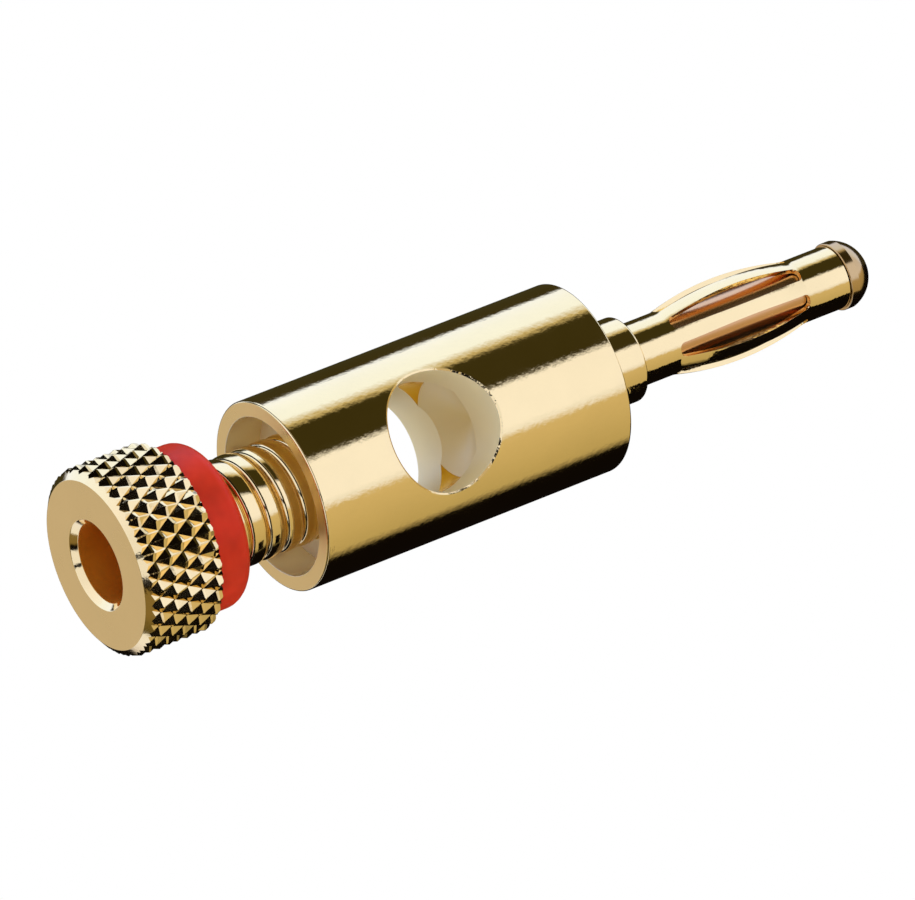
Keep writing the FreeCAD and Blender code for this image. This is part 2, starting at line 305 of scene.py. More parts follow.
def lathe(name, edges, facets):
    """A mesh turned about the Z axis from an outline's edges."""
    faces = []
    places = []
    lookup = {}

    def ring(point):
        key = (round(point.x, DECIMALS), round(point.y, DECIMALS))
        if key not in lookup:
            first = len(places)
            if point.x < ON_AXIS:
                places.append((0, 0, point.y))
                lookup[key] = [first] * facets
            else:
                for index in range(facets):
                    angle = 2 * math.pi * index / facets
                    places.append((point.x * math.cos(angle), point.x * math.sin(angle), point.y))
                lookup[key] = list(range(first, first + facets))
        return lookup[key]

    for start, end, *_ in edges:
        low, high = ring(start), ring(end)
        for index in range(facets):
            after = (index + 1) % facets
            corners = [low[index], low[after], high[after], high[index]]
            faces.append(list(dict.fromkeys(corners)))
    return plain_mesh(name, places, faces)


def true_normals(mesh, edges, hole=None, sharp=35):
    """Give each corner of a turned mesh the direction of the true round surface, so that cuts in
    it don't disturb its gloss. The hole is (radius, height) of a bore along Y. Level faces stay
    flat, and the rest is smooth up to the angle in degrees given as sharp."""
    mesh.shade_smooth()
    mesh.set_sharp_from_angle(angle=math.radians(sharp))
    corner_count = len(mesh.loops)
    vertex = np.zeros(corner_count, np.int32)
    mesh.loops.foreach_get("vertex_index", vertex)
    place = np.zeros(len(mesh.vertices) * 3)
    mesh.vertices.foreach_get("co", place)
    place = place.reshape(-1, 3)[vertex]
    totals = np.zeros(len(mesh.polygons), np.int32)
    mesh.polygons.foreach_get("loop_total", totals)
    face = np.repeat(np.arange(len(mesh.polygons)), totals)
    normal = np.zeros(len(mesh.polygons) * 3)
    mesh.polygons.foreach_get("normal", normal)
    normal = normal.reshape(-1, 3)
    centre = np.zeros(len(mesh.polygons) * 3)
    mesh.polygons.foreach_get("center", centre)
    centre = centre.reshape(-1, 3)
    around = np.arctan2(centre[:, 1], centre[:, 0])
    across = normal[:, 0] * np.cos(around) + normal[:, 1] * np.sin(around)
    flat = np.stack([across, normal[:, 2]], 1)[face]
    spot = np.stack([np.hypot(place[:, 0], place[:, 1]), place[:, 2]], 1)
    best = np.full(corner_count, -2.0)
    found = np.zeros((corner_count, 2))
    for start, end, first, last in edges:
        start, way = np.array(start), np.array(end - start)
        along = np.clip(((spot - start) @ way) / (way @ way), 0, 1)
        gap = np.linalg.norm(spot - start - along[:, None] * way, axis=1)
        outward = np.array(first) * (1 - along[:, None]) + np.array(last) * along[:, None]
        outward /= np.linalg.norm(outward, axis=1)[:, None]
        score = np.where(gap < ON_SURFACE, (outward * flat).sum(1), -2)
        better = score > best
        best[better] = score[better]
        found[better] = outward[better]
    angle = np.arctan2(place[:, 1], place[:, 0])
    on_axis = spot[:, 0] < ON_AXIS
    angle[on_axis] = around[face][on_axis]
    turned = np.stack(
        [found[:, 0] * np.cos(angle), found[:, 0] * np.sin(angle), found[:, 1]], 1
    )
    result = np.zeros(corner_count * 3)
    mesh.corner_normals.foreach_get("vector", result)
    result = result.reshape(-1, 3)
    matched = best > SAME_WAY
    result[matched] = turned[matched]
    if hole:
        radius, height = hole
        spoke = np.stack([place[:, 0], np.zeros(corner_count), place[:, 2] - height], 1)
        length = np.linalg.norm(spoke, axis=1)
        spoke /= np.maximum(length, NO_LENGTH)[:, None]
        facing = (-spoke * normal[face]).sum(1)
        in_hole = (np.abs(length - radius) < ON_SURFACE) & (facing > SAME_WAY)
        result[in_hole] = -spoke[in_hole]
    level = np.abs(normal[face][:, 2]) > LEVEL
    result[level] = normal[face][level]
    result /= np.linalg.norm(result, axis=1)[:, None]
    mesh.normals_split_custom_set(result.tolist())


def paint(mesh, names, choose):
    """Give the mesh the named finishes. choose(radius, height, spots) gives a face's finish."""
    mesh.materials.clear()
    for name in names:
        mesh.materials.append(finish(name))
    for polygon in mesh.polygons:
        spots = [mesh.vertices[index].co for index in polygon.vertices]
        centre = polygon.center
        chosen = choose(math.hypot(centre.x, centre.y), centre.z, spots)
        polygon.material_index = names.index(chosen)


def new_piece(name, mesh, *materials):
    """An object in the scene with a mesh and its materials."""
    piece = bpy.data.objects.new(name, mesh)
    bpy.context.collection.objects.link(piece)
    mesh.materials.clear()
    for material in materials:
        mesh.materials.append(material)
    return piece


def turned_piece(name, edges, *materials):
    """A piece turned from an outline's edges, with the gloss of the true round surface."""
    piece = new_piece(name, lathe(name, edges, FACETS), *materials)
    true_normals(piece.data, edges)
    return piece


def hide_from(piece, *rays):
    """Keep a piece of the stage out of the named kinds of ray."""
    for ray in rays:
        setattr(piece, f"visible_{ray}", False)


def flattened(piece):
    """Turn a piece with its modifiers into a plain mesh."""
    bpy.context.view_layer.update()
    graph = bpy.context.evaluated_depsgraph_get()
    mesh = bpy.data.meshes.new_from_object(piece.evaluated_get(graph), depsgraph=graph)
    old = piece.data
    mesh.name = old.name
    piece.modifiers.clear()
    piece.data = mesh
    if old.users == 0:
        bpy.data.meshes.remove(old)
    return piece


def carve(piece, tool, operation):
    """Cut a piece with a tool's shape, or keep what both share, and drop the tool."""
    change = piece.modifiers.new("carve", "BOOLEAN")
    change.operation = operation
    change.solver = "EXACT"
    change.object = tool
    flattened(piece)
    shape = tool.data
    bpy.data.objects.remove(tool)
    bpy.data.meshes.remove(shape)
    if not piece.data.polygons:
        raise RuntimeError(f"{piece.name} has nothing left")


def settle(piece, body, slot, *nodes):
    """Let a piece ride on its body, with the CAD nodes that it stands for. The slot is not used."""
    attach(piece, body)
    if nodes:
        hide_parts(*nodes)


# Node trees

def new_tree(name, sockets):
    """An empty geometry tree with a geometry output and the named inputs."""
    tree = bpy.data.node_groups.new(name, "GeometryNodeTree")
    tree.interface.new_socket("Geometry", in_out="OUTPUT", socket_type="NodeSocketGeometry")
    for label, kind in sockets:
        tree.interface.new_socket(label, in_out="INPUT", socket_type=kind)
    return tree, tree.nodes.new("NodeGroupInput"), tree.nodes.new("NodeGroupOutput")


def node(tree, kind, values=(), **settings):
    """Add a node. Values are (input, value or output socket) pairs."""
    made = tree.nodes.new(kind)
    for name, value in settings.items():
        setattr(made, name, value)
    for key, value in dict(values).items():
        if isinstance(value, bpy.types.NodeSocket):
            tree.links.new(value, made.inputs[key])
        else:
            made.inputs[key].default_value = value
    return made


def math_node(tree, operation, *values):
    """Add a Math node and give its result."""
    return node(tree, "ShaderNodeMath", enumerate(values), operation=operation).outputs[0]


def mixed_colour(tree, factor, first, second):
    """Add a node that mixes two colours and give its result."""
    return node(tree, "ShaderNodeMix", {
        MIX_FACTOR: factor, MIX_FIRST: first, MIX_SECOND: second,
    }, data_type="RGBA").outputs[MIX_RESULT]


def run_tree(name, tree, material, **inputs):
    """Make a piece from a geometry tree with the given inputs."""
    piece = new_piece(name, bpy.data.meshes.new(name), material)
    change = piece.modifiers.new(name, "NODES")
    change.node_group = tree
    sockets = {item.name: item.identifier for item in tree.interface.items_tree
               if item.in_out == "INPUT"}
    inputs["Material"] = material
    for label, value in inputs.items():
        change[sockets[label.replace("_", " ")]] = value
    flattened(piece)
    if not piece.data.polygons:
        raise RuntimeError(f"{name} came out empty")
    return piece


def finish_tree(tree, source, output, geometry):
    """End a tree as plain geometry with its material."""
    real = node(tree, "GeometryNodeRealizeInstances", {"Geometry": geometry})
    merged = node(tree, "GeometryNodeMergeByDistance", {
        "Geometry": real.outputs[0], "Distance": WELD,
    })
    painted = node(tree, "GeometryNodeSetMaterial", {
        "Geometry": merged.outputs[0], "Material": source.outputs["Material"],
    })
    tree.links.new(painted.outputs[0], output.inputs[0])


def ring_of_copies_tree():
    """Copies of one item round the Z axis in rows, every second row half a step further."""
    tree, source, output = new_tree("rows of copies", (
        ("Item", "NodeSocketObject"), ("Count", "NodeSocketInt"), ("Rows", "NodeSocketInt"),
        ("First Height", "NodeSocketFloat"), ("Row Step", "NodeSocketFloat"),
        ("First Angle", "NodeSocketFloat"), ("Material", "NodeSocketMaterial"),
    ))
    given = source.outputs
    total = math_node(tree, "MULTIPLY", given["Count"], given["Rows"])
    points = node(tree, "GeometryNodePoints", {"Count": total})
    index = node(tree, "GeometryNodeInputIndex").outputs[0]
    row = math_node(tree, "FLOOR", math_node(tree, "DIVIDE", index, given["Count"]))
    place = math_node(tree, "MODULO", index, given["Count"])
    half = math_node(tree, "MULTIPLY", math_node(tree, "MODULO", row, 2.0), 0.5)
    step = math_node(tree, "DIVIDE", 2 * math.pi, given["Count"])
    shifted = math_node(tree, "ADD", place, half)
    turn = math_node(tree, "MULTIPLY_ADD", shifted, step, given["First Angle"])
    height = math_node(tree, "MULTIPLY_ADD", row, given["Row Step"], given["First Height"])
    spot = node(tree, "ShaderNodeCombineXYZ", {"Z": height})
    moved = node(tree, "GeometryNodeSetPosition", {
        "Geometry": points.outputs[0], "Position": spot.outputs[0],
    })
    facing = node(tree, "ShaderNodeCombineXYZ", {"Z": turn})
    item = node(tree, "GeometryNodeObjectInfo", {"Object": given["Item"]})
    copies = node(tree, "GeometryNodeInstanceOnPoints", {
        "Points": moved.outputs[0], "Instance": item.outputs["Geometry"],
        "Rotation": facing.outputs[0],
    })
    finish_tree(tree, source, output, copies.outputs[0])
    return tree


def helix_tree():
    """A rounded ridge along a right-hand helix that fades out at both ends."""
    tree, source, output = new_tree("thread ridge", (
        ("Root Radius", "NodeSocketFloat"), ("Pitch", "NodeSocketFloat"),
        ("Turns", "NodeSocketFloat"), ("First Height", "NodeSocketFloat"),
        ("Ridge Height", "NodeSocketFloat"), ("Ridge Width", "NodeSocketFloat"),
        ("Squareness", "NodeSocketFloat"), ("Fade", "NodeSocketFloat"),
        ("Steps", "NodeSocketInt"), ("Material", "NodeSocketMaterial"),
    ))
    given = source.outputs
    count = math_node(tree, "MULTIPLY", given["Turns"], given["Steps"])
    line = node(tree, "GeometryNodeCurvePrimitiveLine", {"End": (0, 0, 1)})
    fine = node(tree, "GeometryNodeResampleCurve", {"Curve": line.outputs[0], "Count": count})
    factor = node(tree, "GeometryNodeSplineParameter").outputs["Factor"]
    turned = math_node(tree, "MULTIPLY", factor, given["Turns"])
    angle = math_node(tree, "MULTIPLY", turned, 2 * math.pi)
    spot = node(tree, "ShaderNodeCombineXYZ", {
        "X": math_node(tree, "MULTIPLY", math_node(tree, "COSINE", angle), given["Root Radius"]),
        "Y": math_node(tree, "MULTIPLY", math_node(tree, "SINE", angle), given["Root Radius"]),
        "Z": math_node(tree, "MULTIPLY_ADD", turned, given["Pitch"], given["First Height"]),
    })
    helix = node(tree, "GeometryNodeSetPosition", {
        "Geometry": fine.outputs[0], "Position": spot.outputs[0],
    })
    upright = node(tree, "GeometryNodeSetCurveNormal", {"Curve": helix.outputs[0]}, mode="Z_UP")
    from_end = math_node(tree, "SUBTRACT", given["Turns"], turned)
    nearest = math_node(tree, "MINIMUM", turned, from_end)
    size = node(tree, "ShaderNodeMapRange", {
        "Value": nearest, "From Max": given["Fade"], "To Min": 0.05,
    }, interpolation_type="SMOOTHSTEP")
    sized = node(tree, "GeometryNodeSetCurveRadius", {
        "Curve": upright.outputs[0], "Radius": size.outputs[0],
    })
    circle = node(tree, "GeometryNodeCurvePrimitiveCircle", {"Resolution": 48, "Radius": 1.0})
    axes = node(tree, "ShaderNodeSeparateXYZ", {
        0: node(tree, "GeometryNodeInputPosition").outputs[0],
    }).outputs
    half = math_node(tree, "MULTIPLY", given["Ridge Width"], 0.5)
    power = math_node(tree, "DIVIDE", 2.0, given["Squareness"])
    sides = []
    for axis, size in ((axes[0], given["Ridge Height"]), (axes[1], half)):
        fuller = math_node(tree, "POWER", math_node(tree, "ABSOLUTE", axis), power)
        signed = math_node(tree, "MULTIPLY", fuller, math_node(tree, "SIGN", axis))
        sides.append(math_node(tree, "MULTIPLY", signed, size))
    section = node(tree, "ShaderNodeCombineXYZ", {"X": sides[0], "Y": sides[1]})
    dome = node(tree, "GeometryNodeSetPosition", {
        "Geometry": circle.outputs[0], "Position": section.outputs[0],
    })
    swept = node(tree, "GeometryNodeCurveToMesh", {
        "Curve": sized.outputs[0], "Profile Curve": dome.outputs[0], "Fill Caps": True,
    })
    smooth = node(tree, "GeometryNodeSetShadeSmooth", {"Geometry": swept.outputs[0]})
    finish_tree(tree, source, output, smooth.outputs[0])
    return tree


# Finishes

def new_group(name, inputs, outputs):
    """An empty shader group with the named inputs and outputs."""
    tree = bpy.data.node_groups.new(name, "ShaderNodeTree")
    for label, kind, value in inputs:
        socket = tree.interface.new_socket(label, in_out="INPUT", socket_type=kind)
        if value is not None:
            socket.default_value = value
    for label, kind in outputs:
        tree.interface.new_socket(label, in_out="OUTPUT", socket_type=kind)
    return tree, tree.nodes.new("NodeGroupInput"), tree.nodes.new("NodeGroupOutput")


def turning_marks_group():
    """Fine rings left by the lathe and the soft waves that plating leaves over them."""
    tree, source, output = new_group(
        "turning marks",
        (("Vector", "NodeSocketVector", None), ("Rings", "NodeSocketFloat", 1.0),
         ("Ring Scale", "NodeSocketFloat", 9000.0), ("Waves", "NodeSocketFloat", 1.0),
         ("Wave Scale", "NodeSocketFloat", 900.0), ("Ripple", "NodeSocketFloat", 1.0)),
        (("Height", "NodeSocketFloat"), ("Film", "NodeSocketFloat")),
    )
    given = source.outputs
    axes = node(tree, "ShaderNodeSeparateXYZ", {0: given["Vector"]}).outputs
    radius = math_node(tree, "SQRT", math_node(
        tree, "ADD", math_node(tree, "MULTIPLY", axes[0], axes[0]),
        math_node(tree, "MULTIPLY", axes[1], axes[1]),
    ))
    profile = node(tree, "ShaderNodeCombineXYZ", {"X": radius, "Y": axes[2]})
    rings = node(tree, "ShaderNodeTexNoise", {
        "Vector": profile.outputs[0], "Scale": given["Ring Scale"], "Detail": 3.0,
    }, noise_dimensions="2D")
    stretched = node(tree, "ShaderNodeVectorMath", {0: given["Vector"], 1: WAVE_STRETCH},
                     operation="MULTIPLY")
    waves = node(tree, "ShaderNodeTexNoise", {
        "Vector": stretched.outputs[0], "Scale": given["Wave Scale"], "Detail": 2.0,
    })
    ripple = node(tree, "ShaderNodeTexNoise", {
        "Vector": given["Vector"], "Scale": 2800.0, "Detail": 2.0,
    })
    film = node(tree, "ShaderNodeTexNoise", {
        "Vector": given["Vector"], "Scale": 260.0, "Detail": 4.0, "Roughness": 0.6,
    })
    height = math_node(
        tree, "ADD", math_node(tree, "MULTIPLY", rings.outputs[0], given["Rings"]),
        math_node(tree, "MULTIPLY_ADD", waves.outputs[0], given["Waves"],
                  math_node(tree, "MULTIPLY", ripple.outputs[0], given["Ripple"])),
    )
    tree.links.new(height, output.inputs["Height"])
    tree.links.new(film.outputs[0], output.inputs["Film"])
    return tree


# each metal's colour, roughness, lathe rings, waves, ripple, spread of roughness and metallic
METALS = {
    "polished gold": ("gold", 0.07, 0.2, 2.0, 9.0, 0.03, 1.0),
    "cut gold": ("gold", 0.08, 0.0, 2.0, 6.0, 0.03, 1.0),
    "edge gold": ("gold", 0.07, 0.0, 2.0, 40.0, 0.03, 1.0),
    "satin gold": ("gold", 0.3, 0.0, 3.0, 3.0, 0.06, 1.0),
    "dull gold": ("dull", 0.55, 0.5, 3.0, 0.0, 0.06, 0.2),
    "well gold": ("well", 0.14, 0.3, 3.0, 0.0, 0.03, 0.5),
    "bore gold": ("bore", 0.5, 1.5, 3.0, 0.0, 0.06, 1.0),
    "notch gold": ("notch", 0.2, 1.0, 3.0, 12.0, 0.06, 0.6),
    # core gold is the pin's gold darkened and browned: painted shade inside the spring
    "core gold": ("core", 0.25, 0.5, 3.0, 0.0, 0.03, 1.0),
    "dark gold": ("bronze", 0.14, 0.2, 2.0, 3.0, 0.03, 1.0),
}
LOWEST_ROUGHNESS = 0.02
WAVE_STRETCH = (0.45, 0.45, 1.6)


def new_material(name):
    """An empty material and its node tree."""
    material = bpy.data.materials.new(name)
    material.use_nodes = True
    material.node_tree.nodes.clear()
    return material, material.node_tree


def plated(name, tint, roughness, rings, waves, ripple, spread, metallic):
    """Metal with lathe rings, plating waves and a slight film. Dull skins are less metallic."""
    tree = new_material(name)[1]
    where = node(tree, "ShaderNodeTexCoord").outputs["Object"]
    marks = node(tree, "ShaderNodeGroup", node_tree=bpy.data.node_groups["turning marks"])
    tree.links.new(where, marks.inputs["Vector"])
    for label, value in (("Rings", rings), ("Waves", waves), ("Ripple", ripple)):
        marks.inputs[label].default_value = value
    gloss = node(tree, "ShaderNodeMapRange", {
        "Value": marks.outputs["Film"], "From Min": 0.3, "From Max": 0.7,
        "To Min": max(LOWEST_ROUGHNESS, roughness - spread), "To Max": roughness + spread,
    })
    shade = node(tree, "ShaderNodeMapRange", {
        "Value": marks.outputs["Film"], "From Min": 0.25, "From Max": 0.75,
        "To Min": 0.97, "To Max": 1.03,
    })
    tone = node(tree, "ShaderNodeVectorMath", {0: tuple(tint), "Scale": shade.outputs[0]},
                operation="SCALE")
    bump = node(tree, "ShaderNodeBump", {
        "Height": marks.outputs["Height"], "Strength": 1.0, "Distance": 1e-6,
    })
    metal = node(tree, "ShaderNodeBsdfPrincipled", {
        "Base Color": tone.outputs[0], "Roughness": gloss.outputs[0], "Metallic": metallic,
        "Normal": bump.outputs[0],
    })
    node(tree, "ShaderNodeOutputMaterial", {"Surface": metal.outputs[0]})


def ring_plastic(tint):
    """Slightly translucent moulded plastic with a matt skin."""
    tree = new_material("ring plastic")[1]
    where = node(tree, "ShaderNodeTexCoord").outputs["Object"]
    grain = node(tree, "ShaderNodeTexNoise", {"Vector": where, "Scale": 9000.0, "Detail": 3.0})
    cloud = node(tree, "ShaderNodeTexNoise", {"Vector": where, "Scale": 500.0, "Detail": 2.0})
    shade = node(tree, "ShaderNodeMapRange", {
        "Value": cloud.outputs[0], "From Min": 0.3, "From Max": 0.7, "To Min": 0.86, "To Max": 1.14,
    })
    tone = node(tree, "ShaderNodeVectorMath", {0: tuple(tint), "Scale": shade.outputs[0]},
                operation="SCALE")
    bump = node(tree, "ShaderNodeBump", {
        "Height": grain.outputs[0], "Strength": 0.9, "Distance": 8e-6,
    })
    plastic = node(tree, "ShaderNodeBsdfPrincipled", {
        "Base Color": tone.outputs[0], "Roughness": 0.42, "Normal": bump.outputs[0],
        "Subsurface Weight": 0.35, "Subsurface Radius": (1.0, 0.2, 0.1),
        "Subsurface Scale": 0.0009, "Specular IOR Level": 0.1,
    })
    node(tree, "ShaderNodeOutputMaterial", {"Surface": plastic.outputs[0]})


def make_finishes(context):
    """All finishes of the plug, made once."""
    if bpy.data.materials.get("polished gold"):
        return
    turning_marks_group()
    tones = context.scene.plug.finishes
    for name, (tint, *values) in METALS.items():
        plated(name, getattr(tones, tint), *values)
    ring_plastic(tones.ring)


def finish(name):
    """The material with this name."""
    return bpy.data.materials[name]


# Pieces

class PLUG_OT_barrel(bpy.types.Operator):
    """Make the turned barrel with its well, bores and cross hole"""
    bl_idname = "plug.make_barrel"
    bl_label = "Make barrel"

    def execute(self, context):
        make_finishes(context)
        sizes = context.scene.plug.barrel
        base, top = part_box("barrel")[0].z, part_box("barrel")[1].z
        well = sizes.radius - sizes.rim_wall
        point = sizes.drill_radius / math.tan(sizes.drill_point / 2)
        edges = outline(
            (0, base + sizes.drill_depth + point),
            (sizes.drill_radius, base + sizes.drill_depth),
            (sizes.tap_radius, base + sizes.tap_depth),
            (sizes.tap_radius, base + sizes.well_depth, sizes.edge),
            (well, base + sizes.well_depth),
            (well, base, sizes.mouth_edge),
            (sizes.radius, base, sizes.edge),
            (sizes.radius, top, sizes.edge),
            (sizes.spigot_radius, top),
            (sizes.spigot_radius, top - sizes.spigot_depth),
            (0, top - sizes.spigot_depth),
        )
        piece = new_piece("turned_barrel", lathe("turned_barrel", edges, sizes.facets))
        height = base + sizes.hole_height
        carve(piece, self.cross_drill(sizes, height), "DIFFERENCE")
        true_normals(piece.data, edges, (sizes.hole_radius, height))
        skin = sizes.radius - sizes.edge * EDGE_MARGIN
        mouth = sizes.hole_edge * EDGE_MARGIN

        def choose(radius, level, spots):
            reach = [math.hypot(spot.x, spot.z - height) - sizes.hole_radius for spot in spots]
            in_hole = all(abs(gap) < ON_SURFACE for gap in reach)
            near_hole = all(gap < mouth for gap in reach)
            if near_hole and not in_hole and radius > well:
                return "edge gold"
            if radius > skin and not in_hole:
                return "polished gold" if level > base + ON_PLANE else "satin gold"
            if level < base + ON_PLANE or level > top - sizes.spigot_depth - ON_PLANE:
                return "satin gold"
            if in_hole or level > base + sizes.drill_depth:
                return "dull gold"
            if level < base + sizes.well_depth + ON_PLANE:
                return "well gold" if abs(radius - well) < AT_WALL else "dull gold"
            return "notch gold"

        names = ("polished gold", "edge gold", "satin gold", "dull gold", "well gold", "notch gold")
        paint(piece.data, names, choose)
        settle(piece, "barrel", "gold_barrel", "barrel")
        return {"FINISHED"}

    @staticmethod
    def cross_drill(sizes, height, steps=128, reach=1.3, flare=2):
        """The solid that the cross hole and its chamfered mouths take out of the barrel.

        Reach is how far it goes from the axis, in barrel radii. Flare is how far the chamfer
        goes on past the skin, in its own widths."""
        edge = sizes.hole_edge
        rows = []
        for side in (-1, 1):
            wide, tight = [], []
            for index in range(steps):
                angle = 2 * math.pi * index / steps
                across, up = math.cos(angle), math.sin(angle)
                inner = sizes.hole_radius * across
                outer = (sizes.hole_radius + edge) * across
                start = Vector((
                    inner, math.sqrt(sizes.radius ** 2 - inner ** 2) - edge,
                    height + sizes.hole_radius * up,
                ))
                end = Vector((
                    outer, math.sqrt(sizes.radius ** 2 - outer ** 2),
                    height + (sizes.hole_radius + edge) * up,
                ))
                end += (end - start) * flare
                for spot, row in ((start, tight), (end, wide)):
                    row.append((spot.x, spot.y * side, spot.z))
            rows += [wide, tight] if side < 0 else [tight, wide]
        places = [spot for row in rows for spot in row]
        faces = []
        for row in range(len(rows) - 1):
            for index in range(steps):
                after = (index + 1) % steps
                low, high = row * steps, (row + 1) * steps
                faces.append((low + index, low + after, high + after, high + index))
        for side, row in ((-1, 0), (1, len(rows) - 1)):
            places.append((0, side * sizes.radius * reach, height))
            for index in range(steps):
                pair = (row * steps + index, row * steps + (index + 1) % steps)
                faces.append((*pair, len(places) - 1))
        mesh = plain_mesh("cross_drill", places, faces)
        make = bmesh.new()
        make.from_mesh(mesh)
        bmesh.ops.recalc_face_normals(make, faces=make.faces)
        make.to_mesh(mesh)
        make.free()
        return new_piece("cross_drill", mesh)


class PLUG_OT_screw(bpy.types.Operator):
    """Make the hollow clamping screw with its thread and knurled knob"""
    bl_idname = "plug.make_screw"
    bl_label = "Make clamping screw"

    def execute(self, context):
        make_finishes(context)
        sizes = context.scene.plug.screw
        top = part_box("clamping_screw")[1].z
        self.make_knob(sizes)
        root = sizes.thread_radius - sizes.thread_depth
        inside = sizes.knob_length - sizes.shank_overlap
        edges = outline(
            (sizes.bore_radius, top, sizes.small_edge),
            (sizes.bore_radius, inside),
            (root, inside),
            (root, top, sizes.tip_edge),
        )
        shank = turned_piece("screw_shank", edges)

        def choose(radius, level, spots):
            return "bore gold" if radius < sizes.bore_radius + AT_WALL else "cut gold"

        paint(shank.data, ("cut gold", "bore gold"), choose)
        settle(shank, "screw", "gold_screw")
        plain = sizes.pitch * sizes.runout
        first = sizes.knob_length + plain
        thread = run_tree(
            "screw_thread", helix_tree(), finish("cut gold"), Root_Radius=root,
            Pitch=sizes.pitch, Turns=(top - first - plain) / sizes.pitch,
            First_Height=first, Ridge_Height=sizes.thread_depth,
            Ridge_Width=sizes.pitch * sizes.crest_overlap, Squareness=sizes.squareness,
            Fade=sizes.fade, Steps=sizes.turn_steps,
        )
        settle(thread, "screw", "gold_screw")
        return {"FINISHED"}

    @staticmethod
    def make_knob(sizes, clearance=0.00005, rows_below=3, rows_above=2):
        """Make the knob as what its turned outline shares with a longer knurled bar.

        The outline clears the crests, and the bar has spare rows of teeth past both ends."""
        outside = sizes.knob_radius + clearance
        slope = sizes.edge_height / sizes.edge_width
        edges = outline(
            (sizes.bore_radius, sizes.knob_length),
            (sizes.bore_radius, sizes.bore_flare, sizes.small_edge),
            (sizes.bore_radius + sizes.bore_flare, 0, sizes.flare_edge),
            (sizes.knob_radius - sizes.edge_width, 0, sizes.small_edge),
            (outside, slope * (clearance + sizes.edge_width)),
            (outside, sizes.knob_length - sizes.front_edge),
            (outside - sizes.front_edge, sizes.knob_length),
        )
        knob = new_piece("knurled_knob", lathe("knurled_knob", edges, KNOB_FACETS))
        tooth = PLUG_OT_screw.knurl_tooth(sizes)
        rows = math.ceil(sizes.knob_length / sizes.knurl_step) + rows_below + rows_above
        bar = run_tree(
            "knurled_bar", ring_of_copies_tree(), finish("cut gold"), Item=tooth,
            Count=sizes.knurl_count, Rows=rows, Row_Step=sizes.knurl_step,
            First_Height=sizes.knurl_start - rows_below * sizes.knurl_step, First_Angle=0.0,
        )
        bpy.data.objects.remove(tooth)
        make = bmesh.new()
        make.from_mesh(bar.data)
        open_edges = [edge for edge in make.edges if edge.is_boundary]
        bmesh.ops.holes_fill(make, edges=open_edges, sides=0)
        bmesh.ops.recalc_face_normals(make, faces=make.faces)
        make.to_mesh(bar.data)
        make.free()
        carve(knob, bar, "INTERSECT")
        true_normals(knob.data, edges, sharp=8)

        def choose(radius, level, spots):
            if radius < sizes.bore_radius + AT_WALL:
                return "bore gold"
            end = level < ON_PLANE or level > sizes.knob_length - ON_PLANE
            return "satin gold" if end else "cut gold"

        paint(knob.data, ("cut gold", "satin gold", "bore gold"), choose)
        settle(knob, "screw", "gold_screw", "clamping_screw")

    @staticmethod
    def knurl_tooth(sizes, top_cut=0.7, top_dip=0.3):
        """One four-sided pyramid of the knurl with worn top and ridges, at angle 0 and height 0.

        The corners of its top are cut by the share top_cut of the wear, and its middle stays
        below the crest radius by the share top_dip of the worn height."""
        half = math.pi / sizes.knurl_count
        root = sizes.knob_radius - sizes.knurl_depth
        wear = sizes.crest_wear
        places = []

        def ring(size, cut, lift):
            """Corners of a square along the grooves, each with its neighbours on the sides."""
            first = len(places)
            for across, up in ((1, 1), (-1, 1), (-1, -1), (1, -1)):
                before = (size * across, size * up - cut * up)
                after = (size * across - cut * across, size * up)
                pair = (before, after) if across == up else (after, before)
                spots = [pair[0], (size * across, size * up), pair[1]] if lift == 0 else pair
                for u, v in spots:
                    angle = half * (u + v) / 2
                    radius = root + sizes.knurl_depth * lift
                    places.append((
                        radius * math.cos(angle), radius * math.sin(angle),
                        sizes.knurl_step * (u - v) / 2,
                    ))
            return first

        foot = ring(1, wear, 0)
        top = ring(wear, wear * top_cut, 1 - wear)
        places.append((sizes.knob_radius - sizes.knurl_depth * wear * top_dip, 0, 0))
        crest = len(places) - 1
        faces = []
        for corner in range(4):
            after = (corner + 1) % 4
            here, tip = foot + 3 * corner, top + 2 * corner
            faces.append((here, here + 1, here + 2, tip + 1, tip))
            faces.append((here + 2, foot + 3 * after, top + 2 * after, tip + 1))
            faces.append((tip, tip + 1, crest))
            faces.append((tip + 1, top + 2 * after, crest))
        return new_piece("knurl_tooth", plain_mesh("knurl_tooth", places, faces))


class PLUG_OT_ring(bpy.types.Operator):
    """Make the plastic colour ring"""
    bl_idname = "plug.make_ring"
    bl_label = "Make colour ring"

    def execute(self, context):
        make_finishes(context)
        sizes = context.scene.plug.ring
        base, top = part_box("colour_ring")[0].z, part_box("colour_ring")[1].z
        edges = outline(
            (sizes.bore_radius, base),
            (sizes.radius, base, sizes.edge),
            (sizes.radius, top, sizes.round),
            (sizes.bore_radius, top, sizes.edge),
        )
        ring = turned_piece("plastic_ring", edges, finish("ring plastic"))
        settle(ring, "ring", "red_ring", "colour_ring")
        return {"FINISHED"}


